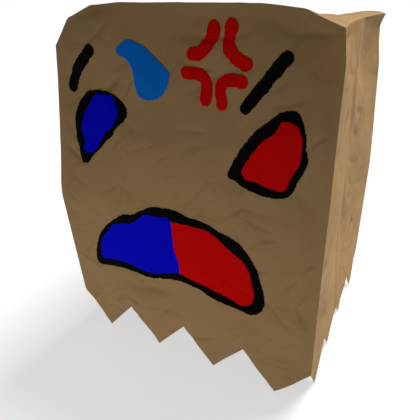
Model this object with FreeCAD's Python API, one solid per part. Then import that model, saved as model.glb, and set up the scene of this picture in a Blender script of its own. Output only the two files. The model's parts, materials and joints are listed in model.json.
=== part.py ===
"""Paper bag mask: a block-bottom kraft bag turned upside down, cut to teeth and painted.

Millimetres. X runs to the right of the face as it is looked at, Y from the painted front to the back,
and Z up. The origin is at the centre of the opening, level with the tips of the teeth. Every panel is
one stretch of paper between two creases and is its own node.
"""

import FreeCAD, Part
import math
import os
from FreeCAD import Matrix, Placement, Vector

# The bag, opened out
bag_width = 305.0  # across the front, at the opening
bag_depth = 265.0  # front to back
bag_height = 381.0  # tips of the teeth to the top of the crown
side_lean = 17.0  # each side leans in by this much over the bag's height
gusset_tuck = 12.0  # the centre crease of a gusset stands this far in from the side

# The paper
paper = 0.2  # wall
paint = 0.15  # film of dried paint
crease_gap = 0.4  # a panel stops this far short of its crease line
glue = 0.05  # film in a glued lap

# Teeth along the opening
front_teeth = 4
gusset_teeth = 2  # on each half of a gusset
front_notch = 47.0  # height of the notches in the front and back, and at the corners
gusset_notch = 38.0  # height of the other notches in the sides

# The crown, which is the bag's own block bottom
crown_drop_left = 35.0
crown_run_left = 62.0  # length of the rounding at that end
crown_drop_right = 13.0
crown_run_right = 52.0
crown_lap = 30.0  # overlap of the two flaps
crown_gap = 0.3  # between two layers of the crown
squeeze_room = 40.0  # how far the front can come towards the back
end_tuck_reach = 78.0  # how far a gusset end is folded in under the flaps
end_tuck_margin = 2.0  # between a gusset end and the back panel

# The long seam in the back
seam_lap = 25.0
seam_slit = 0.2  # between the edge of one half and the step in the other

# The painted face: X, Z places laid out on a front of this width and height, and stretched to the bag's
layout_width = 305.0
layout_height = 381.0
brow_stroke = 10.0
mark_stroke = 10.5
brows = {
    "left_brow": [(-88, 344), (-109, 326), (-119, 309)],
    "right_brow": [(96, 347), (80, 326), (66, 308)],
}
anger_mark = {
    "anger_mark_upper_left": [(17, 346), (28, 349), (37, 365)],
    "anger_mark_upper_right": [(52, 367), (50, 352), (65, 341)],
    "anger_mark_lower_left": [(11, 331), (26, 330), (29, 311)],
    "anger_mark_lower_right": [(62, 328), (46, 327), (44, 309)],
}
sweat_drop = [
    (-57, 345), (-47, 354), (-28, 349), (-7, 332), (-8, 319), (-24, 306), (-39, 309), (-43, 330), (-50, 340),
]
left_eye_outer = [
    (-99, 307), (-84, 309), (-66, 305), (-54, 292), (-70, 273), (-94, 250), (-112, 234), (-121, 236),
    (-124, 256), (-121, 280), (-112, 297),
]
left_eye_inner = [
    (-92, 302), (-81, 305), (-69, 303), (-65, 290), (-74, 273), (-92, 257), (-106, 245), (-115, 249),
    (-114, 268), (-103, 291),
]
right_eye_outer = [
    (97, 309), (110, 308), (117, 293), (120, 270), (112, 247), (101, 236), (80, 236), (60, 243), (52, 250),
    (58, 264), (79, 294),
]
right_eye_inner = [
    (98, 302), (110, 299), (115, 284), (109, 258), (102, 243), (84, 245), (68, 249), (66, 256), (77, 277),
    (90, 291),
]
mouth_outer = [
    (-121, 119), (-108, 150), (-84, 173), (-46, 191), (-22, 199), (10, 196), (46, 186), (70, 176), (84, 157),
    (93, 130), (93, 110), (80, 99), (38, 103), (-4, 112), (-44, 103), (-84, 104), (-116, 101),
]
mouth_inner = [
    (-112, 126), (-101, 150), (-80, 167), (-46, 184), (-22, 189), (10, 186), (41, 180), (69, 162), (79, 142),
    (83, 120), (72, 108), (42, 113), (-3, 122), (-44, 111), (-80, 114), (-109, 111),
]
mouth_divide = [(-10, 215), (-10, 164), (-5, 141), (-3, 123), (-1, 95)]

# What follows from them
half_depth = bag_depth / 2
crease_x = bag_width / 2 - paper / 2  # corner creases run in the middle of the paper
crease_y = half_depth - paper / 2
lean = math.atan2(side_lean, bag_height)
gusset_width = math.hypot(crease_y, gusset_tuck)
gusset_angle = math.atan2(gusset_tuck, crease_y)
layer_pitch = paper + crown_gap
gusset_top = 3 * layer_pitch  # depth of the gussets' tops below the crown's outside
spare = 20.0  # blanks are cut this much too large


def prism(points, direction):
    """A flat outline of straight edges, pushed along direction."""
    return Part.Face(Part.makePolygon(points + points[:1])).extrude(direction)


def tooth_points(half, teeth, end_notch, inner_notch):
    """Notches and tips along the opening, from -half to +half, as place and height."""
    pitch = 2 * half / teeth
    points = []
    for i in range(teeth):
        start = -half + i * pitch
        points.append((start, end_notch if i == 0 else inner_notch))
        points.append((start + pitch / 2, 0.0))
    points.append((half, end_notch))
    return points


def toothed(half, teeth, end_notch, inner_notch, across):
    """A block above the toothed edge. across is the direction that the teeth follow one another in."""
    through = Vector(0, 0, 1).cross(across)
    reach = 2 * max(bag_width, bag_depth)
    edge = tooth_points(half, teeth, end_notch, inner_notch)
    top = bag_height + spare
    corners = edge + [(half + spare, end_notch), (half + spare, top)]
    corners += [(-half - spare, top), (-half - spare, end_notch)]
    points = [across * s + Vector(0, 0, z) - through * (reach / 2) for s, z in corners]
    return prism(points, through * reach)


def side_x(z):
    """Where the right-hand corner creases are at height z."""
    return crease_x - z * math.tan(lean)


def crown_end(side):
    """Height and place of the crown's edge over the corner creases, and its rounding."""
    drop = crown_drop_right if side > 0 else crown_drop_left
    run = crown_run_right if side > 0 else crown_run_left
    edge = side_x(bag_height - drop)
    return edge, edge - run, (run * run + drop * drop) / (2 * drop)


def under_crown(depth):
    """The space under the crown's outer surface, moved in by depth, over the whole bag."""
    _, flat_right, round_right = crown_end(1)
    _, flat_left, round_left = crown_end(-1)
    y = -bag_depth
    slant = math.sqrt(0.5)
    right = round_right - depth
    left = round_left - depth
    flat = bag_height - depth
    centre_right = Vector(flat_right, y, bag_height - round_right)
    centre_left = Vector(-flat_left, y, bag_height - round_left)
    top_right = Vector(flat_right, y, flat)
    top_left = Vector(-flat_left, y, flat)
    out_right = centre_right + Vector(right, 0, 0)
    out_left = centre_left - Vector(left, 0, 0)
    walls = [
        out_right,
        Vector(bag_width, y, out_right.z),
        Vector(bag_width, y, -spare),
        Vector(-bag_width, y, -spare),
        Vector(-bag_width, y, out_left.z),
        out_left,
    ]
    edges = [
        Part.LineSegment(top_left, top_right),
        Part.Arc(top_right, centre_right + Vector(slant, 0, slant) * right, out_right),
        *[Part.LineSegment(a, b) for a, b in zip(walls, walls[1:])],
        Part.Arc(out_left, centre_left + Vector(-slant, 0, slant) * left, top_left),
    ]
    outline = Part.Wire([edge.toShape() for edge in edges])
    return Part.Face(outline).extrude(Vector(0, 2 * bag_depth, 0))


def upright_panel(section, crown_depth):
    """A front or back panel of this section from above, cut to the teeth, the leaning sides and the crown."""
    blank = prism([Vector(x, y, -spare) for x, y in section], Vector(0, 0, bag_height + 2 * spare))
    inset = crease_gap / math.cos(lean)
    low = side_x(-spare) - inset
    high = side_x(bag_height + spare) - inset
    sides = prism(
        [
            Vector(-low, -bag_depth, -spare),
            Vector(low, -bag_depth, -spare),
            Vector(high, -bag_depth, bag_height + spare),
            Vector(-high, -bag_depth, bag_height + spare),
        ],
        Vector(0, 2 * bag_depth, 0),
    )
    teeth = toothed(crease_x, front_teeth, front_notch, front_notch, Vector(1, 0, 0))
    return blank.common(sides).common(teeth).common(under_crown(crown_depth))


def gusset_panel(side, end):
    """Half of a side gusset. side is +1 on the right, end is +1 at the back."""
    up = Vector(-side * math.sin(lean), 0, math.cos(lean))
    outward = Vector(side * math.cos(lean), 0, math.sin(lean))
    inward = outward * -math.sin(gusset_angle) + Vector(0, -end * math.cos(gusset_angle), 0)
    normal = up.cross(inward)
    corner = Vector(side * crease_x, end * crease_y, 0)
    origin = corner + inward * crease_gap - normal * (paper / 2) - up * spare
    blank = Part.makeBox(gusset_width - 2 * crease_gap, paper, bag_height + 3 * spare)
    blank.Placement = Placement(
        Matrix(
            inward.x, normal.x, up.x, origin.x,
            inward.y, normal.y, up.y, origin.y,
            inward.z, normal.z, up.z, origin.z,
            0, 0, 0, 1,
        )
    )
    teeth = toothed(crease_y, 2 * gusset_teeth, front_notch, gusset_notch, Vector(0, 1, 0))
    return blank.common(teeth).common(under_crown(gusset_top))


def crown_sheet(layer, plan):
    """One layer of the crown, cut to a plan outline."""
    depth = layer * layer_pitch
    sheet = under_crown(depth).cut(under_crown(depth + paper))
    above = bag_height - max(crown_drop_left, crown_drop_right) - 2 * spare
    return sheet.common(prism([Vector(x, y, above) for x, y in plan], Vector(0, 0, bag_height)))


def crown_flap(layer, outer, inner):
    """A flap from the front or back edge, outer, to a straight edge past the middle, inner."""
    right, _, _ = crown_end(1)
    left, _, _ = crown_end(-1)
    pinch = gusset_tuck * (1 - abs(inner) / half_depth)
    plan = [
        (-left, outer),
        (right, outer),
        (right - gusset_tuck, 0),
        (right - pinch, inner),
        (-left + pinch, inner),
        (-left + gusset_tuck, 0),
    ]
    return crown_sheet(layer, plan)


def end_tuck(side):
    """The end of a gusset, folded in under both flaps, with slanted sides."""
    edge, _, _ = crown_end(side)
    front = -half_depth + squeeze_room
    back = half_depth - end_tuck_margin
    start_front = edge - gusset_tuck * (1 - abs(front) / half_depth)
    start_back = edge - gusset_tuck * (1 - back / half_depth)
    reach = edge - end_tuck_reach
    plan = [
        (side * start_front, front),
        (side * (edge - gusset_tuck), 0),
        (side * start_back, back),
        (side * reach, back - end_tuck_reach / 2),
        (side * reach, front + end_tuck_reach / 2),
    ]
    return crown_sheet(2, plan)


def rear_panel_left():
    """The half of the back that carries the seam's lap, which steps in behind the other half."""
    outer = half_depth
    inner = half_depth - paper
    deep = inner - glue - paper
    seam = -seam_lap / 2
    section = [
        (-bag_width, outer),
        (seam, outer),
        (seam, inner - glue),
        (seam + seam_lap, inner - glue),
        (seam + seam_lap, deep),
        (seam - paper, deep),
        (seam - paper, inner),
        (-bag_width, inner),
    ]
    return upright_panel(section, layer_pitch + paper)


def rear_panel_right():
    start = -seam_lap / 2 + seam_slit
    section = [
        (start, half_depth - paper),
        (bag_width, half_depth - paper),
        (bag_width, half_depth),
        (start, half_depth),
    ]
    return upright_panel(section, layer_pitch + paper)


def front_panel():
    section = [
        (-bag_width, -half_depth),
        (bag_width, -half_depth),
        (bag_width, -half_depth + paper),
        (-bag_width, -half_depth + paper),
    ]
    return upright_panel(section, paper)


def on_front(points):
    """Places of the face's layout, put on the front of this bag."""
    wide = bag_width / layout_width
    high = bag_height / layout_height
    return [Vector(x * wide, -half_depth, z * high) for x, z in points]


def smooth_face(points):
    """A flat patch of paint with a smooth closed edge through the points."""
    curve = Part.BSplineCurve()
    curve.interpolate(on_front(points), PeriodicFlag=True)
    return Part.Face(Part.Wire([curve.toShape()]))


def film(face):
    return face.extrude(Vector(0, -paint, 0))


def brush_stroke(points, width):
    """Paint along a curved stroke with round ends."""
    curve = Part.BSplineCurve()
    curve.interpolate(on_front(points))
    spine = Part.Wire([curve.toShape()])
    steps = 12
    left, right = [], []
    for i in range(steps + 1):
        t = curve.FirstParameter + (curve.LastParameter - curve.FirstParameter) * i / steps
        along = curve.tangent(t)[0]
        across = Vector(0, 1, 0).cross(along) * (width / 2)
        left.append(curve.value(t) + across)
        right.append(curve.value(t) - across)
    start = curve.value(curve.FirstParameter) - curve.tangent(curve.FirstParameter)[0] * (width / 2)
    end = curve.value(curve.LastParameter) + curve.tangent(curve.LastParameter)[0] * (width / 2)
    sides = []
    for row in (left, right[::-1]):
        side = Part.BSplineCurve()
        side.interpolate(row)
        sides.append(side.toShape())
    caps = [Part.Arc(left[-1], end, right[-1]).toShape(), Part.Arc(right[0], start, left[0]).toShape()]
    return film(Part.Face(Part.Wire([sides[0], caps[0], sides[1], caps[1]])))


def right_of_divide():
    """The front to the right of the line that parts the mouth's two colours."""
    curve = Part.BSplineCurve()
    curve.interpolate(on_front(mouth_divide))
    top, bottom = on_front([mouth_divide[0], mouth_divide[-1]])
    far = on_front([(layout_width / 2, mouth_divide[-1][1]), (layout_width / 2, mouth_divide[0][1])])
    straight = [Part.LineSegment(a, b).toShape() for a, b in zip([bottom] + far, far + [top])]
    return Part.Face(Part.Wire([curve.toShape()] + straight))


def painted_face():
    """Every patch of paint, by node."""
    patches = {}
    for name, points in brows.items():
        patches[name] = brush_stroke(points, brow_stroke)
    for name, points in anger_mark.items():
        patches[name] = brush_stroke(points, mark_stroke)
    patches["sweat_drop"] = film(smooth_face(sweat_drop))
    for side, outer, inner in (
        ("left", left_eye_outer, left_eye_inner),
        ("right", right_eye_outer, right_eye_inner),
    ):
        fill = film(smooth_face(inner))
        patches[side + "_eye_fill"] = fill
        patches[side + "_eye_outline"] = film(smooth_face(outer)).cut(fill)
    inside = film(smooth_face(mouth_inner))
    patches["mouth_outline"] = film(smooth_face(mouth_outer)).cut(inside)
    patches["mouth_right_half"] = inside.common(film(right_of_divide()))
    patches["mouth_left_half"] = inside.cut(film(right_of_divide()))
    return patches


def panels():
    """Every stretch of paper, by node."""
    return {
        "front_panel": front_panel(),
        "rear_panel_left": rear_panel_left(),
        "rear_panel_right": rear_panel_right(),
        "left_gusset_front": gusset_panel(-1, -1),
        "left_gusset_rear": gusset_panel(-1, 1),
        "right_gusset_front": gusset_panel(1, -1),
        "right_gusset_rear": gusset_panel(1, 1),
        "crown_front_flap": crown_flap(0, -half_depth, crown_lap / 2),
        "crown_rear_flap": crown_flap(1, half_depth, -crown_lap / 2),
        "crown_left_tuck": end_tuck(-1),
        "crown_right_tuck": end_tuck(1),
    }


def main():
    os.makedirs("parts", exist_ok=True)
    nodes = panels()
    nodes.update(painted_face())
    for name, shape in nodes.items():
        solids = shape.Solids
        if len(solids) != 1 or not solids[0].isValid():
            raise RuntimeError(name + " isn't one sound solid: " + str(len(solids)))
        solids[0].exportStep("parts/" + name + ".step")
        box = shape.BoundBox
        print(name, round(shape.Volume, 1), [round(v, 1) for v in (
            box.XMin, box.XMax, box.YMin, box.YMax, box.ZMin, box.ZMax)])


main()
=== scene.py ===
"""The looks of the paper bag mask: crumpled kraft sheets, hand-painted marks, floor, lights and camera.

Lengths are millimetres until a mesh is made; the floor, the lamps and the camera are placed in metres.
Z is up, -Y is the painted front.
"""
import json
import math

import bpy
import numpy as np
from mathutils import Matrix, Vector
from mathutils.geometry import delaunay_2d_cdt


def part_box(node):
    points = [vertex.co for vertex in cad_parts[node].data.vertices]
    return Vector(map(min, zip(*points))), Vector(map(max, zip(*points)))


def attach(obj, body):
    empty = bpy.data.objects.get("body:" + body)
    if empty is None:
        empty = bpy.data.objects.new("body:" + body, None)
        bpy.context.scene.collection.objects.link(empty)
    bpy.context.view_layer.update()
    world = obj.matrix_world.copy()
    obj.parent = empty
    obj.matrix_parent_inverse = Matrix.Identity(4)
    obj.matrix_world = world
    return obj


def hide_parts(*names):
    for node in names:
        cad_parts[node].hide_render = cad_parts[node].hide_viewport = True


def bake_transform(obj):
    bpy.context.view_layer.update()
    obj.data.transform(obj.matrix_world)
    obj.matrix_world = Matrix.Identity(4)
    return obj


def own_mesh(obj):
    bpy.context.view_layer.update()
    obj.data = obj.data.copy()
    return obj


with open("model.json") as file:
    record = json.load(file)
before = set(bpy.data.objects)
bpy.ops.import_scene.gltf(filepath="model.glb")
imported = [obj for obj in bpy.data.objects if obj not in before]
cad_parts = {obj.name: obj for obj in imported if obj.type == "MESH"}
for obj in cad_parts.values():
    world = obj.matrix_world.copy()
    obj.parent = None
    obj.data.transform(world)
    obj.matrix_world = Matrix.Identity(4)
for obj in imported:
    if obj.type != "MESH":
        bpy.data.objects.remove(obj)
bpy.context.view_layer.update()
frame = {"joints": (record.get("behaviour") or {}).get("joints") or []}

MM = 0.001
JOINTS = {j["name"]: j for j in frame["joints"]}

# The bag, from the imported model
CORNER = [v / MM for v in JOINTS["squeeze"]["pos_m"]]
CREASE_X, CREASE_Y = CORNER[0], CORNER[1]
CENTRE_X = JOINTS["right_gusset_crease"]["pos_m"][0] / MM
TUCK = CREASE_X - CENTRE_X
LEAN = abs(JOINTS["squeeze"]["axis"][0] / JOINTS["squeeze"]["axis"][2])
HALF_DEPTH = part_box("rear_panel_right")[1].y / MM
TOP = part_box("crown_front_flap")[1].z / MM
GUSSET_WIDTH = math.hypot(CREASE_Y, TUCK)

# Cut edge
FRONT_TEETH = 4
GUSSET_TEETH = 2
CORNER_NOTCH = 47.0
GUSSET_NOTCH = 38.0

# Paper
PAPER = 0.45
STEP = 2.1  # spacing of the mesh
FOLD_FADE = 12.0  # crumples die out this close to a fold
WRAP = 28.0  # a sheet that goes round a corner reaches this far past it
LAP = 15.0  # half the overlap of the crown's flaps
SEAM = 12.5  # half the overlap of the seam in the back
UNDER = 0.7  # depth of a sheet that lies under another
DIP = 5.0  # the rear flap goes down to that depth over this length
TUCK_REACH = 78.0  # length of the crown's end tucks, towards the middle
TUCK_INSET = 2.0  # they start this far inside the crown's ends
TUCK_EXTRA = 0.2  # they lie this much deeper than twice UNDER
CROWN_SHARE = 0.9  # the crown's width is about this share of the opening's

# Height of the front's and the back's top edges: place across, height
FRONT_TOP = [
    (-137, 346), (-116, 370), (-85, 380.5), (-53, 382.6), (35, 382.3), (75, 382), (108, 378.8),
    (136, 367.4),
]
REAR_TOP = [
    (-137, 346), (-118, 366), (-84, 375), (-40, 377), (10, 377.5), (38, 375.5), (64, 366.4),
    (90, 370.8), (114, 374), (127, 373.6), (136, 371.2),
]

# How far each corner crease stands outward of its straight line: height, outward
FRONT_LEFT_EDGE = [
    (0, 0), (47, 1.8), (120, 9.5), (190, 16.5), (206, 15), (222, 11.6), (270, 4), (319, -3),
    (346, -6),
]
FRONT_RIGHT_EDGE = [(0, 0), (190, 0), (240, 0.3), (300, 0.2), (345, 0.6), (368, -2.2)]
REAR_RIGHT_EDGE = [
    (0, 1), (113, 2), (189, 2.2), (228, 0.4), (295, -3.5), (318, -4.6), (338, -8), (361, -9.8),
    (371, -4.2),
]
REAR_LEFT_EDGE = [(0, 0), (300, 0), (346, -5)]
# The four by side (1 right, -1 left) and end (1 back, -1 front)
EDGES = {
    (1, -1): FRONT_RIGHT_EDGE,
    (-1, -1): FRONT_LEFT_EDGE,
    (1, 1): REAR_RIGHT_EDGE,
    (-1, 1): REAR_LEFT_EDGE,
}
FORWARD_SHARE = 0.55  # of the front left corner's bulge, how much is forward and not sideways
BULGE_REACH = 75.0
TUCK_SHARE = [(45, 0), (150, 0.78), (235, 0.85), (290, 1), (335, 1.1)]  # height, share of the full tuck
FLARE_REACH = 62.0  # how far into a gusset its corner creases' shift is felt
FLARE_FLAT = 0.15  # the fade to nothing at the centre crease starts at about this share of the gusset
TOP_REACH = 75.0  # a gusset turns to meet the crown's end over this much height
GUSSET_CRUMPLE = 0.7  # share of the sheet's crumples
# Dents in the gussets: side, place in depth, height, reach in depth, reach in height, how deep
DENTS = [
    (1, 62, 322, 44, 38, 8.0),
    (1, -70, 130, 40, 60, -2.5),
    (-1, 50, 300, 45, 45, 4.0),
    (-1, -40, 180, 40, 60, 3.0),
]
DENT_FADE = 40.0  # the dents die out this close to a crease

# Crown
CROWN_BOW = 8.8  # its ends are drawn in by this at mid depth
CROWN_DISH = 3.0  # it sinks by this in the middle
DISH_RIM = 14.0  # the sinking starts this far from the crown's edges
DISH_REACH = 70.0  # and takes this much more to reach its full depth
CROWN_CRUMPLE = 0.4  # share of the sheet's crumples
CROWN_FADE = 30.0  # crumples die out this close to the crown's edges
VALLEY = ((64, 132.5), (112, -110))  # a dent across the crown, from the back edge to the front right corner
VALLEY_DEPTH = (3.5, 7.0)  # in the middle and towards the back
VALLEY_DEEPENS = (40.0, 50.0)  # depth place where it starts to get deeper, and over how much depth
VALLEY_WIDTH = 30.0
VALLEY_FADE = (26.0, 45.0)  # it dies out this close to the crown's ends, and to its front and back edges

# Teeth and top edges
TOOTH_CURL = 2.2  # how far the teeth curl in or out
CURL_RISE = 12.0  # the curl starts this far above the notches
CURL_REACH = 60.0  # and grows over this much height
CURL_FADE = 30.0  # it dies out this close to a corner crease
CURL_WAVES = 7.3  # about how many times it changes across a panel
TOP_RIPPLE = 0.35  # unevenness of the top edges
TOP_WAVES = 17

# How the sheets bend in a pose
OPEN_U = 0.8 / GUSSET_WIDTH  # the left rear crease is open: the gusset starts this far short of it

# Shifts on the unrolled sheet, so that faces differ in their crumples and in the marks of the paper
CROWN_SHEET = (1000, 500)  # from a place on the crown to its place on the sheet
TUCK_SHEET = 200  # a further shift for the colours of the tucks
INNER_SHEET = 400  # a further shift for the colours of every inner face


def noise(x, y, seed):
    """Smooth gradient noise of about -0.7 to 0.7, the same on every run."""
    size = 64
    angle = np.random.default_rng(seed).random((size, size)) * 2 * math.pi
    xi, yi = np.floor(x).astype(int), np.floor(y).astype(int)
    fx, fy = x - xi, y - yi
    sx = fx * fx * fx * (fx * (fx * 6 - 15) + 10)
    sy = fy * fy * fy * (fy * (fy * 6 - 15) + 10)

    def corner(i, j):
        a = angle[(xi + i) % size, (yi + j) % size]
        return np.cos(a) * (fx - i) + np.sin(a) * (fy - j)

    low = corner(0, 0) * (1 - sx) + corner(1, 0) * sx
    high = corner(0, 1) * (1 - sx) + corner(1, 1) * sx
    return low * (1 - sy) + high * sy


def smooth(t):
    """0 before t = 0 and 1 after t = 1, with a soft start and end between them."""
    t = np.clip(t, 0, 1)
    return t * t * (3 - 2 * t)


def through(points, x, blur=5.0):
    """A line of straight stretches through the points with its corners slightly eased."""
    px, py = zip(*points)
    return sum(np.interp(x + d, px, py) for d in (-blur, -blur / 2, 0, blur / 2, blur)) / 5


def facets(x, y, seed):
    """Height of paper creased into flat triangles, two to each square of a grid."""
    size = 64
    random = np.random.default_rng(seed)
    high, rising = random.random((size, size)) * 2 - 1, random.random((size, size)) < 0.5
    xi, yi = np.floor(x).astype(int), np.floor(y).astype(int)
    fx, fy = x - xi, y - yi
    h00, h10 = high[xi % size, yi % size], high[(xi + 1) % size, yi % size]
    h01, h11 = high[xi % size, (yi + 1) % size], high[(xi + 1) % size, (yi + 1) % size]
    split_up = np.where(
        fx > fy,
        h00 + fx * (h10 - h00) + fy * (h11 - h10),
        h00 + fy * (h01 - h00) + fx * (h11 - h01),
    )
    split_down = np.where(
        fx + fy < 1,
        h00 + fx * (h10 - h00) + fy * (h01 - h00),
        h11 + (1 - fx) * (h01 - h11) + (1 - fy) * (h10 - h11),
    )
    return np.where(rising[xi % size, yi % size], split_up, split_down)


SWELL = (1.1, 95, 70, 21)  # slow rise and fall of the whole sheet: height, reach along, reach up, seed
# Flat facets of three sizes: length, width, direction in degrees, height, seed
CRUMPLES = [
    (92, 52, 13, 3.0, 11),
    (47, 27, -27, 1.2, 12),
    (23, 14, 36, 0.3, 13),
]
# Wrinkles, grooves that run in wandering strands: length, spacing, slope in degrees, depth, seed
WRINKLES = [
    (80, 30, 16, 1.6, 71),
    (62, 24, -24, 1.2, 72),
    (34, 17, 30, 0.5, 73),
]
WANDER = 0.42  # how far facets and wrinkles stray from straight lines, as a share of their length
STRAND_WAVE = 0.6  # how far a strand strays to its side, as a share of the spacing
STRAND_GAIN = 1.9  # a higher value makes more of the strands come out at full depth
STRAND_PATCH = 0.8  # size of the patches in which strands come and go, as a share of their length
# Sizes across a groove, in terms of a level that is 0 along its bottom and 1 half way to the next groove
GROOVE_BOTTOM = 0.17  # the rounded level at which a groove has its full depth
GROOVE_ROUND = 0.03  # how rounded its bottom is
GROOVE_WIDTH = 0.35
# the shade painted along a groove's bottom reaches this far across it
CREASE_SHADE_WIDTH = 0.24
CREASE_SHADE_AMOUNT = 0.65  # strength of the shade painted into the deepest wrinkles


def crumple(s, z):
    """Height of the crumples at a place on the unrolled sheet, and how much shade is painted into the
    wrinkles there.
    """
    swell_height, swell_along, swell_up, swell_seed = SWELL
    height = swell_height * noise(s / swell_along, z / swell_up, swell_seed)
    crease_shade = 0 * s

    def turned(along, across, degrees, seed):
        bend = WANDER * along
        ws = s + bend * noise(s / along, z / along, seed + 20)
        wz = z + bend * noise(s / along, z / along, seed + 40)
        c, n = math.cos(math.radians(degrees)), math.sin(math.radians(degrees))
        return (ws * c + wz * n) / along + seed, (wz * c - ws * n) / across + 2 * seed

    for along, across, degrees, high, seed in CRUMPLES:
        height = height + high * facets(*turned(along, across, degrees, seed), seed)
    for along, across, degrees, deep, seed in WRINKLES:
        u, v = turned(along, across, degrees, seed)
        level = np.abs(np.sin(math.pi * (v + STRAND_WAVE * noise(u, v, seed))))
        patch = STRAND_PATCH * along
        strength = np.clip(STRAND_GAIN * noise(s / patch, z / patch, seed + 60), 0, 1)
        rounded = np.sqrt(level ** 2 + GROOVE_ROUND)
        height = height - deep * strength * np.exp((GROOVE_BOTTOM - rounded) / GROOVE_WIDTH)
        # shade painted into the bottom of each groove, strongest where the strand is deep
        crease_shade = np.maximum(crease_shade, strength * np.exp(-((level / CREASE_SHADE_WIDTH) ** 2)))
    return height, crease_shade


def corner_x(z):
    """Half the bag's width between its straight corner creases at height z."""
    return CREASE_X - z * LEAN


def edge_shift(side, end, z):
    """How far a corner crease stands off its straight line at height z, sideways and in depth."""
    out = through(EDGES[side, end], z)
    forward = FORWARD_SHARE * np.maximum(out, 0) if (side, end) == (-1, -1) else 0 * z
    return side * (out - forward), -forward


def bulge(end, x, z):
    """How far the corners carry a place on the flat front or back, sideways and in depth."""
    dx, dy = 0 * z, 0 * z
    for side in (-1, 1):
        edge_dx, edge_dy = edge_shift(side, end, z)
        near = np.exp(-(((corner_x(z) - side * x) / BULGE_REACH) ** 2))
        dx, dy = dx + edge_dx * near, dy + edge_dy * near
    return dx, dy


def zigzag(u, teeth, first, inner, last):
    """Height of the cut edge at share u of a panel's width."""
    place = u * teeth
    k = np.minimum(np.floor(place + 1e-9), teeth - 1)
    f = place - k
    notch = np.where((k == 0) & (f < 0.5), first, np.where((k == teeth - 1) & (f > 0.5), last, inner))
    return notch * np.abs(1 - 2 * f)


def columns(breaks, step):
    """Shares across a panel with no gap wider than step, keeping each break."""
    out = [breaks[0]]
    for a, b in zip(breaks, breaks[1:]):
        n = max(1, math.ceil((b - a) / step - 1e-9))
        out += [a + (b - a) * i / n for i in range(1, n + 1)]
    return np.array(out)


def top_height(end, u):
    """Height of the front's (end -1) or the back's (end 1) top edge at share u from left to right.

    The lean makes x depend on z, and the edge makes z depend on x: a few rounds settle both.
    """
    z = np.full(np.shape(u), TOP)
    for _ in range(6):
        x = corner_x(z) * (2 * u - 1)
        z = through(FRONT_TOP if end < 0 else REAR_TOP, x, 1.2)
    return z + TOP_RIPPLE * noise(u * TOP_WAVES, 0 * u + 5.5 * (end + 2), 41)


def upright_point(end, x, z):
    """A point of the crumpled front (end -1) or back (end 1) for its place on the flat panel."""
    share = 0.5 + x / (2 * corner_x(z))
    dx, dy = bulge(end, x, z)
    room = np.minimum(corner_x(z) - np.abs(x), top_height(end, share) - z)
    s = x if end < 0 else CREASE_X * 2 + 2 * GUSSET_WIDTH - x
    wave = noise(share * CURL_WAVES, 0 * share + 3.3 + end, 51)
    curl = TOOTH_CURL * smooth((CORNER_NOTCH + CURL_RISE - z) / CURL_REACH) * wave
    swell = crumple(s, z)[0] * smooth(room / FOLD_FADE) + curl * smooth(room / CURL_FADE)
    y = end * (HALF_DEPTH + swell) + dy
    return np.stack([x + dx, y, z], -1), np.stack([s, z], -1)


def crown_point(u, y):
    """A point of the crown for share u from left to right and depth y."""
    t = 0.5 + y / (2 * HALF_DEPTH)
    ends = []
    for end in (-1, 1):
        z = top_height(end, u)
        x = corner_x(z) * (2 * u - 1)
        ends.append((x + bulge(end, x, z)[0], z))
    x = ends[0][0] * (1 - t) + ends[1][0] * t - (2 * u - 1) * CROWN_BOW * 4 * t * (1 - t)
    z = ends[0][1] * (1 - t) + ends[1][1] * t
    room_x, room_y = np.minimum(u, 1 - u) * 2 * CREASE_X, HALF_DEPTH - np.abs(y)
    room = np.minimum(room_x, room_y)
    (x0, y0), (x1, y1) = VALLEY
    off = ((x - x0) * (y0 - y1) + (y - y0) * (x1 - x0)) / math.hypot(x1 - x0, y1 - y0)
    dent = np.exp(-((off / VALLEY_WIDTH) ** 2))
    dent = dent * smooth(room_y / VALLEY_FADE[1]) * smooth(room_x / VALLEY_FADE[0])
    towards_back = smooth((y - VALLEY_DEEPENS[0]) / VALLEY_DEEPENS[1])
    deep = VALLEY_DEPTH[0] + (VALLEY_DEPTH[1] - VALLEY_DEPTH[0]) * towards_back
    sheet_x, sheet_y = x + CROWN_SHEET[0], y + CROWN_SHEET[1]
    swell = CROWN_CRUMPLE * crumple(sheet_x, sheet_y)[0] * smooth(room / CROWN_FADE)
    z = z - CROWN_DISH * smooth((room - DISH_RIM) / DISH_REACH) - deep * dent + swell
    return np.stack([x, y + 0 * x, z], -1), np.stack([sheet_x, sheet_y + 0 * x], -1)


def gusset_top(side, t):
    """Place and height of a gusset's top edge at share t from front to back."""
    edge = crown_point(0 * t + 0.5 + side / 2, (2 * t - 1) * HALF_DEPTH)[0]
    return edge[..., 0], edge[..., 2]


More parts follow.
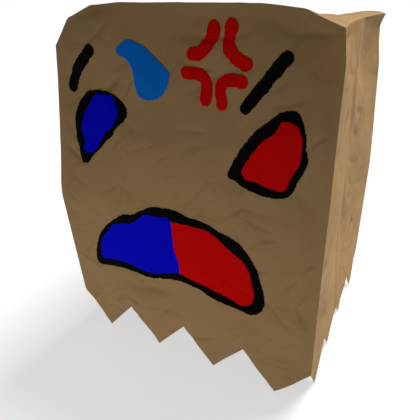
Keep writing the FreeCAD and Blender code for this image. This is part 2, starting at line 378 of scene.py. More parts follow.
def gusset_point(side, end, u, z):
    """A point of half a gusset; end -1 is the front half, and u runs from the corner to the centre crease."""
    y = end * CREASE_Y * (1 - u)
    x = side * (corner_x(z) - TUCK * u * through(TUCK_SHARE, z))
    for dent_side, dent_y, dent_z, reach_y, reach_z, deep in DENTS:
        if dent_side == side:
            hollow = np.exp(-(((y - dent_y) / reach_y) ** 2) - ((z - dent_z) / reach_z) ** 2)
            x = x - side * deep * hollow * smooth(np.minimum(u, 1 - u) * GUSSET_WIDTH / DENT_FADE)
    top_x, top_z = gusset_top(side, 0.5 + y / (2 * CREASE_Y))
    dx, dy = edge_shift(side, end, z)
    fade = 1 - smooth(u * (1 + FLARE_FLAT) - FLARE_FLAT)
    near = np.exp(-((u * GUSSET_WIDTH / FLARE_REACH) ** 2)) * fade
    top_dx = edge_shift(side, end, top_z)[0]
    flat_top_x = side * (corner_x(top_z) - TUCK * u * through(TUCK_SHARE, top_z)) + top_dx * near
    x = x + dx * near + (top_x - flat_top_x) * smooth((z - top_z + TOP_REACH) / TOP_REACH)
    room = np.minimum(np.minimum(u, 1 - u) * GUSSET_WIDTH, top_z - z)
    s = side * (CREASE_X + (u if end < 0 else 2 - u) * GUSSET_WIDTH)
    x = x + GUSSET_CRUMPLE * side * crumple(s, z)[0] * smooth(room / FOLD_FADE)
    return np.stack([x, y + dy * near, z], -1), np.stack([s, z], -1)


# Materials

def shader(name):
    """A new material, its node tree, its shader and a helper that adds a node."""
    material = bpy.data.materials.new(name)
    material.use_nodes = True
    tree = material.node_tree
    bsdf = tree.nodes["Principled BSDF"]

    def add(kind, **values):
        node = tree.nodes.new(kind)
        for key, value in values.items():
            if key in node.inputs:
                node.inputs[key].default_value = value
            else:
                setattr(node, key, value)
        return node

    return material, tree, bsdf, add


def ramp(add, stops):
    """A colour ramp with these stops: place, colour."""
    node = add("ShaderNodeValToRGB")
    elements = node.color_ramp.elements
    while len(elements) < len(stops):
        elements.new(0.5)
    for element, (place, colour) in zip(elements, stops):
        element.position = place
        element.color = (*colour, 1)
    return node


KRAFT_DARK = (0.532, 0.322, 0.134)
KRAFT = (0.550, 0.334, 0.141)
KRAFT_LIGHT = (0.568, 0.347, 0.148)
# colour of the shade painted into the wrinkles' grooves
CREASE_SHADE_COLOUR = (0.31, 0.170, 0.060)
# pale fibres where the paper has rubbed; along folds the same paleness is also a painted highlight
BARE_FIBRE_AND_HIGHLIGHT = (0.68, 0.48, 0.26)


def kraft_material():
    """Kraft paper: cloudy pulp, fine fibres, a few specks, painted shade in the creases, pale worn cut edges,
    folds worn and highlighted.
    """
    material, tree, bsdf, add = shader("kraft_paper")
    link = tree.links.new

    def blend(mode, amount, below, above):
        node = add("ShaderNodeMix", data_type="RGBA", blend_type=mode)
        for socket, value in ((0, amount), (6, below), (7, above)):
            if isinstance(value, bpy.types.NodeSocket):
                link(value, node.inputs[socket])
            else:
                node.inputs[socket].default_value = value
        return node.outputs[2]

    place = add("ShaderNodeUVMap", uv_map="sheet").outputs[0]
    stretch = add("ShaderNodeMapping")
    stretch.inputs["Scale"].default_value = (1, 4, 1)
    stretch.inputs["Rotation"].default_value = (0, 0, 0.25)
    link(place, stretch.inputs["Vector"])
    clouds = add("ShaderNodeTexNoise", Scale=17.0, Detail=6.0, Roughness=0.6, Distortion=0.6)
    fibres = add("ShaderNodeTexNoise", Scale=300.0, Detail=5.0, Roughness=0.65)
    specks = add("ShaderNodeTexVoronoi", Scale=330.0)
    link(place, clouds.inputs["Vector"])
    link(stretch.outputs[0], fibres.inputs["Vector"])
    link(place, specks.inputs["Vector"])
    tone = ramp(add, [(0.34, KRAFT_DARK), (0.5, KRAFT), (0.66, KRAFT_LIGHT)])
    link(clouds.outputs["Fac"], tone.inputs["Fac"])
    grain = ramp(add, [(0.3, (0.91, 0.90, 0.87)), (0.65, (1.05, 1.05, 1.06))])
    link(fibres.outputs["Fac"], grain.inputs["Fac"])
    dots = ramp(add, [(0.06, (0.62, 0.55, 0.46)), (0.16, (1, 1, 1))])
    link(specks.outputs["Distance"], dots.inputs["Fac"])
    colour = blend("MULTIPLY", 1.0, tone.outputs["Color"], grain.outputs["Color"])
    colour = blend("MULTIPLY", 0.35, colour, dots.outputs["Color"])
    # painted shade: the wrinkles' grooves are darkened towards this colour
    crease_shade = add("ShaderNodeAttribute", attribute_name="crease_shade").outputs["Fac"]
    colour = blend("MIX", crease_shade, colour, (*CREASE_SHADE_COLOUR, 1))
    # paler along cut edges where the paper has rubbed, and along folds, where it is also a painted highlight
    worn_and_highlight = add("ShaderNodeAttribute", attribute_name="worn_and_highlight").outputs["Fac"]
    colour = blend("MIX", worn_and_highlight, colour, (*BARE_FIBRE_AND_HIGHLIGHT, 1))
    link(colour, bsdf.inputs["Base Color"])
    rough = add("ShaderNodeMapRange")
    rough.inputs["To Min"].default_value = 0.7
    rough.inputs["To Max"].default_value = 0.9
    link(fibres.outputs["Fac"], rough.inputs["Value"])
    link(rough.outputs[0], bsdf.inputs["Roughness"])
    bump = add("ShaderNodeBump", Strength=0.25, Distance=0.0003)
    link(fibres.outputs["Fac"], bump.inputs["Height"])
    link(bump.outputs[0], bsdf.inputs["Normal"])
    bsdf.inputs["Specular IOR Level"].default_value = 0.15
    return material


def paint_material(name, colour, dark):
    """Poster paint brushed on paper: streaks of a second tone and a dull, uneven skin."""
    material, tree, bsdf, add = shader(name)
    link = tree.links.new
    place = add("ShaderNodeUVMap", uv_map="sheet")
    stretch = add("ShaderNodeMapping")
    stretch.inputs["Scale"].default_value = (1, 7, 1)
    stretch.inputs["Rotation"].default_value = (0, 0, 0.7)
    link(place.outputs[0], stretch.inputs["Vector"])
    streaks = add("ShaderNodeTexNoise", Scale=95.0, Detail=6.0, Roughness=0.65)
    fibres = add("ShaderNodeTexNoise", Scale=480.0, Detail=3.0)
    link(stretch.outputs[0], streaks.inputs["Vector"])
    link(place.outputs[0], fibres.inputs["Vector"])
    tone = ramp(add, [(0.35, dark), (0.6, colour)])
    link(streaks.outputs["Fac"], tone.inputs["Fac"])
    link(tone.outputs["Color"], bsdf.inputs["Base Color"])
    rough = add("ShaderNodeMapRange")
    rough.inputs["To Min"].default_value = 0.6
    rough.inputs["To Max"].default_value = 0.85
    link(streaks.outputs["Fac"], rough.inputs["Value"])
    link(rough.outputs[0], bsdf.inputs["Roughness"])
    bump = add("ShaderNodeBump", Strength=0.3, Distance=0.0003)
    link(fibres.outputs["Fac"], bump.inputs["Height"])
    link(bump.outputs[0], bsdf.inputs["Normal"])
    bsdf.inputs["Specular IOR Level"].default_value = 0.02
    return material


KRAFT_PAPER = kraft_material()
PAINTS = {
    "black_paint": paint_material("painted_black", (0.002, 0.002, 0.002), (0.001, 0.001, 0.001)),
    "blue_paint": paint_material("painted_blue", (0.001, 0.001, 1.0), (0.001, 0.001, 0.88)),
    "red_paint": paint_material("painted_red", (1.0, 0.001, 0.001), (0.88, 0.001, 0.001)),
    "crimson_paint": paint_material("painted_crimson", (0.96, 0.001, 0.001), (0.84, 0.001, 0.001)),
    "teal_paint": paint_material("painted_teal", (0.001, 0.25, 0.98), (0.001, 0.21, 0.86)),
}


# Meshes

def add_mesh(name, points, faces, uv, material, looks=None, sharp=35):
    """A piece from its points in millimetres, its faces and each point's place on the unrolled sheet."""
    mesh = bpy.data.meshes.new(name)
    mesh.from_pydata((np.asarray(points) * MM).tolist(), [], faces)
    corners = np.zeros(len(mesh.loops), int)
    mesh.loops.foreach_get("vertex_index", corners)
    layer = mesh.uv_layers.new(name="sheet")
    layer.data.foreach_set("uv", (np.asarray(uv)[corners] * MM).astype(np.float32).ravel())
    for attribute_name, values in (looks or {}).items():
        attribute = mesh.attributes.new(attribute_name, "FLOAT", "POINT")
        attribute.data.foreach_set("value", np.asarray(values, np.float32))
    mesh.polygons.foreach_set("use_smooth", [True] * len(mesh.polygons))
    mesh.set_sharp_from_angle(angle=math.radians(sharp))
    mesh.materials.append(material)
    mesh.validate()
    piece = bpy.data.objects.new(name, mesh)
    bpy.context.scene.collection.objects.link(piece)
    return piece


def normals(grid):
    """Unit normals of a grid of points, pointing where rows times columns point."""
    rows = np.gradient(grid, axis=0)
    cols = np.gradient(grid, axis=1)
    n = np.cross(cols, rows)
    return n / np.linalg.norm(n, axis=-1, keepdims=True)


def sheet_piece(name, grid, uv, outward, edge=None, cut=None):
    """A sheet of paper from the grid of its outer face.

    outward is a rough direction out of the bag; edge and cut are the distance to a fold and to a cut edge.
    """
    n = normals(grid)
    far = np.full(grid.shape[:2], 99.0)
    edge, cut = far if edge is None else edge, far if cut is None else cut
    if np.mean(n @ np.array(outward, float)) < 0:
        grid, uv, n, edge, cut = grid[:, ::-1], uv[:, ::-1], -n[:, ::-1], edge[:, ::-1], cut[:, ::-1]
    rows, cols = grid.shape[:2]
    count = rows * cols
    points = np.concatenate([grid.reshape(-1, 3), (grid - n * PAPER).reshape(-1, 3)])
    index = np.arange(count).reshape(rows, cols)
    a, b, c, d = index[:-1, :-1], index[:-1, 1:], index[1:, 1:], index[1:, :-1]
    outer = np.stack([a, b, c, d], -1).reshape(-1, 4)
    inner = outer[:, ::-1] + count
    rim = np.concatenate([index[0, :], index[1:, -1], index[-1, -2::-1], index[-2:0:-1, 0]])
    after = np.roll(rim, -1)
    sides = np.stack([after, rim, rim + count, after + count], -1)
    faces = np.concatenate([outer, inner, sides]).tolist()
    # painted shade in the wrinkles' grooves, fading out near folds
    crease_shade = CREASE_SHADE_AMOUNT * crumple(uv[..., 0], uv[..., 1])[1] * smooth(edge / FOLD_FADE)
    # paler along folds and cut edges: rubbed paper, and along folds a painted highlight too
    looks = {"worn_and_highlight": wear_and_highlight(uv, edge, cut), "crease_shade": crease_shade}
    looks = {key: np.tile(value.reshape(-1), 2) for key, value in looks.items()}
    flat_uv = uv.reshape(-1, 2)
    return add_mesh(name, points, faces, np.concatenate([flat_uv, flat_uv + INNER_SHEET]), KRAFT_PAPER, looks)


# Wear, and along folds a painted highlight as well: how pale, and how far from the fold or the cut
FOLD_WEAR_AND_HIGHLIGHT = (0.35, 1.6)
CUT_WEAR = (0.3, 0.9)
WEAR_AND_HIGHLIGHT_BREAKS = 7.0  # length of the breaks in the pale line along a fold, rubbed paper and painted highlight


def wear_and_highlight(uv, edge, cut):
    """Paleness along folds, in broken lines, of rubbed paper and a painted highlight, and along cut edges
    where the paper has rubbed.
    """
    broken = np.clip(0.4 + 1.1 * noise(uv[..., 0] / WEAR_AND_HIGHLIGHT_BREAKS, uv[..., 1] / WEAR_AND_HIGHLIGHT_BREAKS, 61), 0, 1)
    fold_pale, fold_reach = FOLD_WEAR_AND_HIGHLIGHT
    cut_pale, cut_reach = CUT_WEAR
    fold = fold_pale * broken * np.exp(-((edge / fold_reach) ** 2))
    return fold + cut_pale * np.exp(-((cut / cut_reach) ** 2))


def rows_of(bottom, top):
    """Heights from the cut edge to the top, as rows over every column."""
    count = int((TOP - CORNER_NOTCH / 2) / STEP)
    v = np.linspace(0, 1, count + 1)[:, None]
    return bottom + v * (top - bottom)


def upright_grid(end, u):
    """Places on the flat front or back, in columns at shares u of its width."""
    z = rows_of(zigzag(u, FRONT_TEETH, CORNER_NOTCH, CORNER_NOTCH, CORNER_NOTCH), top_height(end, u))
    x = corner_x(z) * (2 * u - 1)
    return x, z


def gusset_grid(side, end, u):
    """Shares and heights over half a gusset, in columns at shares u of its width."""
    t = 0.5 + end * (1 - u) / 2
    z = rows_of(zigzag(u, GUSSET_TEETH, CORNER_NOTCH, GUSSET_NOTCH, GUSSET_NOTCH), gusset_top(side, t)[1])
    return u + 0 * z, z


# Shares of a panel's width: where the points and the notches of the teeth are, and the mesh's spacing
TOOTH_U = [i / (2 * FRONT_TEETH) for i in range(2 * FRONT_TEETH + 1)]
HALF_U = [i / (2 * GUSSET_TEETH) for i in range(2 * GUSSET_TEETH + 1)]
U_STEP = STEP / (2 * CREASE_X)
G_STEP = STEP / GUSSET_WIDTH
WRAP_U = WRAP / GUSSET_WIDTH


def upright_part(end, u):
    """The front or back at shares u: points, places on the sheet, distance to folds and to the cut."""
    x, z = upright_grid(end, u)
    points, uv = upright_point(end, x, z)
    share = 0.5 + x / (2 * corner_x(z))
    return points, uv, np.minimum(corner_x(z) - np.abs(x), top_height(end, share) - z), z - z[0]


def gusset_part(side, end, u):
    """Half a gusset at shares u, with the same four results."""
    share, z = gusset_grid(side, end, u)
    points, uv = gusset_point(side, end, share, z)
    return points, uv, np.minimum(np.minimum(share, 1 - share) * GUSSET_WIDTH, z[-1] - z), z - z[0]


def joined(first, second):
    """Two stretches side by side whose facing columns are the same."""
    return [np.concatenate([a, b[:, 1:]], 1) for a, b in zip(first, second)]


def crown_part(u, y):
    """The crown at shares u and depths y: points, places on the sheet, distance to folds."""
    uu, yy = np.meshgrid(u, y)
    points, uv = crown_point(uu, yy)
    return points, uv, np.minimum(np.minimum(uu, 1 - uu) * 2 * CREASE_X, HALF_DEPTH - np.abs(yy))


def place_sheet(piece, node, body):
    """A sheet stands in for a CAD node, and rides a body if one is given."""
    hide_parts(node)
    if body:
        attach(piece, body)
    return piece


def bend_round_corner(piece, node):
    """A sheet that goes round a corner crease stands in for its CAD node, its place baked into its points; it
    rides no body.
    """
    place_sheet(piece, node, None)
    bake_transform(piece)


def make_walls():
    """The front, the back and the halves of the gussets; two of the sheets go round a corner."""
    wrap = columns([0, WRAP_U], G_STEP)
    left_wrap = [grid[:, ::-1] for grid in gusset_part(-1, -1, wrap)]
    points, uv, edge, cut = joined(left_wrap, upright_part(-1, columns(TOOTH_U, U_STEP)))
    front = sheet_piece("front_sheet", points, uv, (0, -1, 0), edge, cut)
    bend_round_corner(front, "front_panel")

    seam = SEAM / (2 * CREASE_X)
    step_down = 0.01  # share of the width over which the left sheet dips under the right one
    breaks = [u for u in TOOTH_U if u < 0.5] + [0.5 - seam - step_down, 0.5 - seam, 0.5, 0.5 + seam]
    share = columns(breaks, U_STEP)
    points, uv, edge, cut = upright_part(1, share)
    points[..., 1] -= UNDER * smooth((share - 0.5 + seam + step_down) / step_down)
    place_sheet(sheet_piece("rear_left_sheet", points, uv, (0, 1, 0), edge, cut), "rear_panel_left", "back")

    breaks = [0.5 - seam, 0.5] + [u for u in TOOTH_U if u > 0.5]
    right_wrap = gusset_part(1, 1, wrap)
    points, uv, edge, cut = joined(upright_part(1, columns(breaks, U_STEP)), right_wrap)
    rear = sheet_piece("rear_right_sheet", points, uv, (0, 1, 0), edge, cut)
    bend_round_corner(rear, "rear_panel_right")

    for side, end, start in ((1, -1, 0), (1, 1, WRAP_U), (-1, -1, WRAP_U), (-1, 1, OPEN_U)):
        which = "right" if side > 0 else "left"
        half, other = ("front", "rear") if end < 0 else ("rear", "front")
        node = which + "_gusset_" + half
        breaks = [start] + [u for u in HALF_U if u > start]
        points, uv, edge, cut = gusset_part(side, end, columns(breaks, G_STEP))
        sheet = place_sheet(sheet_piece(node + "_sheet", points, uv, (side, 0, 0), edge, cut), node, None)
        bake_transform(sheet)


def make_crown():
    """The two flaps and the two tucks, which the squeeze shortens in depth by as much as the bag."""
    u = columns(TOOTH_U, U_STEP)

    def depths(a, b):
        return np.linspace(a, b, int((b - a) / STEP) + 1)

    points, uv, edge = crown_part(u, depths(-HALF_DEPTH, LAP))
    flap = sheet_piece("crown_front_sheet", points, uv, (0, 0, 1), edge, LAP - points[..., 1])
    place_sheet(flap, "crown_front_flap", "front")
    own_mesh(flap)

    points, uv, edge = crown_part(u, depths(-LAP, HALF_DEPTH))
    points[..., 2] -= UNDER * smooth((LAP + DIP - points[..., 1]) / DIP)
    flap = sheet_piece("crown_rear_sheet", points, uv, (0, 0, 1), edge)
    place_sheet(flap, "crown_rear_flap", "back")
    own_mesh(flap)

    for side in (-1, 1):
        make_tuck(side)


def make_tuck(side):
    """The end of a gusset folded in under the flaps: a trapezoid with slanted sides."""
    name = "left" if side < 0 else "right"
    y0, y1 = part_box("crown_" + name + "_tuck")[0].y / MM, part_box("crown_" + name + "_tuck")[1].y / MM
    a = np.linspace(0, 1, int(TUCK_REACH / STEP))[:, None]
    b = np.linspace(0, 1, int((y1 - y0) / STEP))[None, :]
    slant = a * TUCK_REACH / 2
    y = (y0 + slant) * (1 - b) + (y1 - slant) * b
    inset = TUCK_INSET + a * (TUCK_REACH - TUCK_INSET)
    u = 0.5 + side * (0.5 - inset / (2 * CREASE_X * CROWN_SHARE))
    points, uv = crown_point(u, y)
    points[..., 2] -= 2 * UNDER + TUCK_EXTRA
    tuck = sheet_piece("crown_" + name + "_tuck_sheet", points, uv + TUCK_SHEET, (0, 0, 1))
    place_sheet(tuck, "crown_" + name + "_tuck", "back")
    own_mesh(tuck)


# The painted face: outlines as x, z, where the camera sees them on the plane of the flat front

# Centre lines and widths of the brows, and centre lines of the anger mark's strokes
BROWS = {
    "left_brow": ([(-88, 344), (-99, 335), (-109, 326), (-115, 317), (-119, 309)], 10.2),
    "right_brow": ([(96, 347), (91, 341), (85, 333), (80, 326), (73, 318), (66, 308)], 10.0),
}
ANGER = {
    "anger_mark_upper_left": [(37, 365), (36, 360), (31, 353), (25, 347), (17, 346)],
    "anger_mark_upper_right": [(52, 367), (50, 360), (50, 353), (54, 347), (60, 343), (65, 341)],
    "anger_mark_lower_left": [(11, 331), (22, 331), (27, 329), (30, 322), (29, 311)],
    "anger_mark_lower_right": [(62, 328), (50, 328), (44, 324), (43, 317), (44, 309)],
}
ANGER_WIDTH = 10.5
DROP = [
    (-58, 346), (-55, 349), (-47, 354), (-41, 354), (-35, 352), (-28, 349), (-18, 341), (-7, 332),
    (-5, 327), (-8, 319), (-13, 311), (-20, 307), (-27, 305), (-33, 305), (-39, 308), (-42, 316),
    (-43, 331), (-50, 340), (-55, 341),
]
LEFT_EYE = [
    (-99, 307), (-93, 308), (-84, 309), (-76, 308), (-66, 305), (-58, 300), (-54, 292), (-57, 284),
    (-69, 274), (-74, 267), (-82, 261), (-94, 250), (-104, 242), (-112, 234), (-119, 232),
    (-122, 236), (-122, 248), (-124, 256), (-122, 274), (-119, 284), (-113, 294), (-106, 302),
]
LEFT_EYE_FILL = [
    (-93, 302), (-88, 305), (-80, 305), (-71, 305), (-67, 299), (-65, 290), (-68, 283), (-72, 276),
    (-80, 271), (-90, 260), (-96, 252), (-104, 246), (-112, 244), (-116, 248), (-113, 255),
    (-115, 262), (-113, 272), (-110, 281), (-103, 291),
]
RIGHT_EYE = [
    (97, 309), (108, 310), (114, 302), (117, 293), (118, 284), (120, 270), (114, 254), (111, 245),
    (107, 239), (101, 236), (90, 235), (80, 236), (68, 239), (60, 244), (54, 246), (52, 250),
    (57, 262), (69, 282), (79, 294), (90, 304),
]
RIGHT_EYE_FILL = [
    (98, 302), (109, 300), (114, 292), (115, 284), (114, 270), (107, 254), (103, 243), (94, 243),
    (84, 245), (77, 247), (69, 248), (65, 254), (69, 264), (78, 278), (83, 284), (92, 292),
]
MOUTH = [
    (-121, 119), (-116, 134), (-108, 150), (-98, 162), (-84, 173), (-71, 181), (-60, 183),
    (-46, 191), (-34, 197), (-22, 199), (-4, 199), (11, 195), (28, 193), (46, 186), (57, 184),
    (68, 178), (77, 168), (84, 157), (88, 144), (93, 130), (94, 114), (90, 105), (82, 99),
    (68, 100), (54, 101), (38, 103), (20, 109), (-2, 112), (-14, 110), (-27, 107), (-42, 103),
    (-60, 103), (-82, 104), (-100, 103), (-117, 101), (-122, 108),
]
MOUTH_FILL = [
    (-112, 126), (-108, 140), (-101, 150), (-90, 163), (-79, 168), (-64, 171), (-55, 177),
    (-46, 185), (-38, 188), (-22, 188), (-16, 190), (-9, 186), (10, 186), (30, 185), (41, 180),
    (56, 170), (69, 162), (76, 153), (79, 142), (82, 130), (83, 119), (78, 110), (70, 107),
    (56, 110), (42, 113), (28, 116), (10, 119), (-3, 122), (-18, 118), (-34, 112), (-52, 111),
    (-75, 114), (-92, 114), (-110, 111), (-114, 116),
]
MOUTH_DIVIDE = [(-10, 230), (-10, 186), (-10, 164), (-9, 151), (-5, 141), (-3, 131), (-3, 122), (-2, 90)]

FILM = 0.75  # how far the paint stands off the paper, so that no crumple comes through it
RIM_THINNER = 0.2  # the film is thinner at its edge by this share
BURIED = 0.15  # the underside of the film is this far inside the paper
EDGE_CLEAR = 0.6 * STEP  # mesh points keep this far from an outline
BRISTLES = ((1.3, 0.8), (2.6, 0.9), (9.0, 0.7))  # wobbles of a painted edge: length, height
STROKE_UNEVEN = 0.16  # how much the width of a brush stroke varies, as a share
STROKE_WAVE = 7.0  # and over how many points of its line


def smooth_line(points, closed, step=0.9):
    """Catmull-Rom curve through the points, sampled evenly."""
    p = np.array(points, float)
    if closed:
        p = np.concatenate([p[-1:], p, p[:2]])
    else:
        p = np.concatenate([2 * p[:1] - p[1:2], p, 2 * p[-1:] - p[-2:-1]])
    out = []
    for a, b, c, d in zip(p, p[1:], p[2:], p[3:]):
        t = np.linspace(0, 1, max(2, int(np.linalg.norm(c - b) / step) + 1), endpoint=False)[:, None]
        second, third = 2 * a - 5 * b + 4 * c - d, 3 * b - a - 3 * c + d
        out.append(0.5 * (2 * b + (c - a) * t + second * t**2 + third * t**3))
    line = np.concatenate(out)
    return line if closed else np.concatenate([line, p[-2:-1]])


def ragged(loop, seed, amount=1.0):
    """A closed outline with the small wobbles of a brush on rough paper."""
    along = np.roll(loop, -1, 0) - np.roll(loop, 1, 0)
    across = np.stack([along[:, 1], -along[:, 0]], 1)
    across /= np.linalg.norm(across, axis=1, keepdims=True) + 1e-9
    wobble = sum(high * noise(loop[:, 0] / size, loop[:, 1] / size, seed + int(size * 10))
                 for size, high in BRISTLES)
    return loop + across * (wobble * amount)[:, None]


def on_sheet(outline):
    """The places on the flat panel that the front's bulge carries, as the camera sees it, to an outline.

    The camera sees the bulging corner from about 45 degrees, where a shift forward looks like one sideways.
    """
    flat = outline.copy()
    for _ in range(5):
        dx, dy = bulge(-1, flat[:, 0], flat[:, 1])
        flat[:, 0] = outline[:, 0] - dx - dy
    return flat


def stroke(points, width, seed):
    """Outline of a brush stroke with round ends and a slightly uneven width."""
    line = smooth_line(points, False)
    along = np.gradient(line, axis=0)
    along /= np.linalg.norm(along, axis=1, keepdims=True)
    across = np.stack([-along[:, 1], along[:, 0]], 1)
    uneven = STROKE_UNEVEN * noise(np.arange(len(line)) / STROKE_WAVE, np.full(len(line), 0.5), seed)
    half = width / 2 * (1 + uneven)[:, None]
    turn = np.linspace(0, math.pi, 9)[1:-1, None]

    def cap(centre, side, forward, radius):
        return centre + (np.cos(turn) * side + np.sin(turn) * forward) * radius

    return np.concatenate([
        line + across * half,
        cap(line[-1], across[-1], along[-1], half[-1]),
        (line - across * half)[::-1],
        cap(line[0], -across[0], -along[0], half[0]),
    ])


def inside(points, loop):
    """Which points lie inside a closed outline."""
    x, y = points[:, 0], points[:, 1]
    result = np.zeros(len(points), bool)
    for (x0, y0), (x1, y1) in zip(loop, np.roll(loop, -1, 0)):
        crosses = (y0 > y) != (y1 > y)
        with np.errstate(divide="ignore", invalid="ignore"):
            at = (x1 - x0) * (y - y0) / (y1 - y0) + x0
        result ^= crosses & (x < at)
    return result


def fill_triangles(outline, hole):
    """Places on the flat panel inside an outline and outside its hole, and the triangles between them."""
    loops = [outline] if hole is None else [outline, hole]

    def covered(places):
        result = inside(places, outline)
        return result if hole is None else result & ~inside(places, hole)

    low, high = outline.min(0), outline.max(0)
    gx, gz = np.meshgrid(np.arange(low[0], high[0], STEP), np.arange(low[1], high[1], STEP))
    grid = np.stack([gx.ravel(), gz.ravel()], 1)
    grid = grid[covered(grid)]
    edge_points = np.concatenate(loops)
    grid = grid[np.min(np.linalg.norm(grid[:, None] - edge_points[None], axis=2), axis=1) > EDGE_CLEAR]
    edges, first = [], 0
    for loop in loops:
        edges += [(first + i, first + (i + 1) % len(loop)) for i in range(len(loop))]
        first += len(loop)
    places = [Vector(p) for p in np.concatenate([edge_points, grid])]
    places, _, faces, _, _, _ = delaunay_2d_cdt(places, edges, [], 0, 1e-5)
    flat = np.array([place[:] for place in places])
    triangles = np.array([face for face in faces if len(face) == 3])
    triangles = triangles[covered(flat[triangles].mean(1))]
    used, triangles = np.unique(triangles, return_inverse=True)
    return flat[used], triangles.reshape(-1, 3)


def front_surface(flat):
    """Points of the crumpled front for places on the flat panel, places on the sheet, and outward normals."""
    nudge = 0.5
    here, uv = upright_point(-1, flat[:, 0], flat[:, 1])
    right, _ = upright_point(-1, flat[:, 0] + nudge, flat[:, 1])
    above, _ = upright_point(-1, flat[:, 0], flat[:, 1] + nudge)
    n = np.cross(right - here, above - here)
    n /= np.linalg.norm(n, axis=1, keepdims=True)
    n *= np.where(n[:, 1:2] > 0, -1, 1)
    return here, uv, n


def paint_piece(name, outline, slot, hole=None):
    """A film of paint that follows the crumpled front inside an outline."""
    flat, triangles = fill_triangles(on_sheet(outline), None if hole is None else on_sheet(hole))
    here, uv, n = front_surface(flat)
    a, b, c = here[triangles[:, 0]], here[triangles[:, 1]], here[triangles[:, 2]]
    wrong = np.einsum("ij,ij->i", np.cross(b - a, c - a), n[triangles[:, 0]]) < 0
    triangles[wrong] = triangles[wrong][:, ::-1]
    outer = triangles.tolist()
    directed = {(t[i], t[(i + 1) % 3]): True for t in outer for i in range(3)}
    rim = [(p, q) for p, q in directed if (q, p) not in directed]
    count = len(flat)
    at_rim = np.zeros(count)
    at_rim[[p for p, _ in rim]] = 1
    thick = FILM * (1 - RIM_THINNER * at_rim)
    points = np.concatenate([here + n * thick[:, None], here - n * BURIED])
    faces = outer + [[t[2] + count, t[1] + count, t[0] + count] for t in outer]
    faces += [[q, p, p + count, q + count] for p, q in rim]
    piece = add_mesh(name + "_paint", points, faces, np.concatenate([uv, uv]), PAINTS[slot], sharp=50)
    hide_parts(name)
    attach(piece, "front")


def make_face():
    """Every painted mark, each outline with its own seed for the wobbles of the brush."""
    for i, (name, (points, width)) in enumerate(BROWS.items()):
        paint_piece(name, ragged(stroke(points, width, 70 + i), 80 + i), "black_paint")
    for i, (name, points) in enumerate(ANGER.items()):
        paint_piece(name, ragged(stroke(points, ANGER_WIDTH, 90 + i), 100 + i), "crimson_paint")
    paint_piece("sweat_drop", ragged(smooth_line(DROP, True), 110, 0.6), "teal_paint")
    for name, outer, inner, slot, seed in (
        ("left_eye", LEFT_EYE, LEFT_EYE_FILL, "blue_paint", 120),
        ("right_eye", RIGHT_EYE, RIGHT_EYE_FILL, "red_paint", 130),
    ):
        ring = ragged(smooth_line(outer, True), seed)
        fill = ragged(smooth_line(inner, True), seed + 5, 0.8)
        paint_piece(name + "_outline", ring, "black_paint", hole=fill)
        paint_piece(name + "_fill", fill, slot)
    ring = ragged(smooth_line(MOUTH, True), 140)
    fill = ragged(smooth_line(MOUTH_FILL, True), 145, 0.8)
    paint_piece("mouth_outline", ring, "black_paint", hole=fill)
    divide = smooth_line(MOUTH_DIVIDE, False)
    left, right = split(fill, divide)
    paint_piece("mouth_left_half", left, "blue_paint")
    paint_piece("mouth_right_half", right, "red_paint")


def split(loop, line):
    """A closed outline cut in two by a line that runs down through it: the parts left and right of it."""
    def offset(p):
        order = np.argsort(line[:, 1])
        return p[:, 0] - np.interp(p[:, 1], line[order, 1], line[order, 0])

    side = offset(loop) > 0
    changes = [i for i in range(len(loop)) if side[i] != side[i - 1]]
    cuts = []
    for i in changes:
        a, b = loop[i - 1], loop[i]
        da, db = offset(np.array([a]))[0], offset(np.array([b]))[0]
        cuts.append(a + (b - a) * da / (da - db))
    high, low = max(cuts[0][1], cuts[1][1]), min(cuts[0][1], cuts[1][1])
    between = line[(line[:, 1] < high - 0.5) & (line[:, 1] > low + 0.5)]
    i, j = changes
    first = [cuts[0], *loop[i:j], cuts[1]]
    second = [cuts[1], *loop[j:], *loop[:i], cuts[0]]
    parts = []
    for part in (first, second):
        down = part[-1][1] > part[0][1]
        path = between[np.argsort(-between[:, 1])] if down else between[np.argsort(between[:, 1])]
        parts.append(np.array([*part, *path]))
    return (parts[1], parts[0]) if side[i] else (parts[0], parts[1])


# Floor, light and camera

def make_stage():
    """A pale floor under the bag."""
    size = 40.0  # metres from the middle to a side
    mesh = bpy.data.meshes.new("floor")
    corners = [(-size, -size, 0), (size, -size, 0), (size, size, 0), (-size, size, 0)]
    mesh.from_pydata(corners, [], [(0, 1, 2, 3)])
    floor = bpy.data.objects.new("floor", mesh)
    bpy.context.scene.collection.objects.link(floor)
    material, _, bsdf, _ = shader("pale_floor")
    bsdf.inputs["Base Color"].default_value = (0.5, 0.5, 0.5, 1)
    bsdf.inputs["Emission Color"].default_value = (1, 1, 1, 1)
    bsdf.inputs["Emission Strength"].default_value = 0.62  # a lit floor, so the bag's shadow stays pale
    bsdf.inputs["Roughness"].default_value = 0.9
    bsdf.inputs["Specular IOR Level"].default_value = 0.0
    mesh.materials.append(material)
    floor.visible_diffuse = False  # the floor throws no light back at the bag: the lamps alone shade it


AMBIENT = 0.07  # strength of the world's light on the bag
BACKDROP = 1.0  # and as the camera sees it


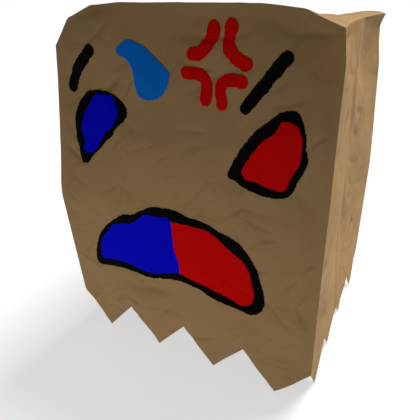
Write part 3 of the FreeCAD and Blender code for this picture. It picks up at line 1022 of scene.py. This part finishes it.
def make_world():
    """A white backdrop, and a dimmer soft light on the bag from all round."""
    world = bpy.data.worlds.new("studio")
    world.use_nodes = True
    tree = world.node_tree
    background = tree.nodes["Background"]
    background.inputs["Color"].default_value = (1, 1, 1, 1)
    path = tree.nodes.new("ShaderNodeLightPath")
    strength = tree.nodes.new("ShaderNodeMapRange")
    strength.inputs["To Min"].default_value = AMBIENT
    strength.inputs["To Max"].default_value = BACKDROP
    tree.links.new(path.outputs["Is Camera Ray"], strength.inputs["Value"])
    tree.links.new(strength.outputs[0], background.inputs["Strength"])
    bpy.context.scene.world = world


# Lamps: kind, place in metres, aim, strength, and size (an angle for the sun, width and height for a panel)
LAMPS = {
    "key": ("SUN", (0.25, 0.5, 0.83), (0, 0, 0), 3.25, (math.radians(30),)),
    "front_fill": ("AREA", (-0.03, -0.52, 0.0), (0.0, 0, 0.1), 1.12, (0.6, 0.2)),
    "left_fill": ("AREA", (-0.8, 0.35, 0.1), (-0.15, 0, 0.15), 1.1, (0.5, 0.4)),
    "side_fill": ("AREA", (0.75, 0.3, 0.03), (0.15, 0, 0.12), 1.85, (0.5, 0.3)),
}


def make_lamps():
    for name, (kind, place, aim, energy, size) in LAMPS.items():
        data = bpy.data.lights.new(name, kind)
        data.energy = energy
        if kind == "SUN":
            data.angle = size[0]
        else:
            data.shape = "RECTANGLE"
            data.size, data.size_y = size
        lamp = bpy.data.objects.new(name, data)
        lamp.location = place
        lamp.rotation_euler = (Vector(aim) - Vector(place)).to_track_quat("-Z", "Y").to_euler()
        lamp.visible_camera = False
        bpy.context.scene.collection.objects.link(lamp)


# The photo's view: metres, and degrees to the left, downward and across the picture
CAMERA_PLACE = (0.1839, -0.4198, 0.3818)
CAMERA_YAW = 27.47
CAMERA_PITCH = 27.98
CAMERA_FOV = 56.69


def make_camera():
    data = bpy.data.cameras.new("camera")
    data.sensor_width = 36
    data.angle = math.radians(CAMERA_FOV)
    data.clip_start = 0.01
    data.clip_end = 200
    camera = bpy.data.objects.new("camera", data)
    camera.location = CAMERA_PLACE
    camera.rotation_euler = (math.radians(90 - CAMERA_PITCH), 0, math.radians(CAMERA_YAW))
    bpy.context.scene.collection.objects.link(camera)
    bpy.context.scene.camera = camera
    bpy.context.scene.view_settings.view_transform = "Standard"


make_camera()
make_walls()
make_crown()
make_face()
make_stage()
make_world()
make_lamps()
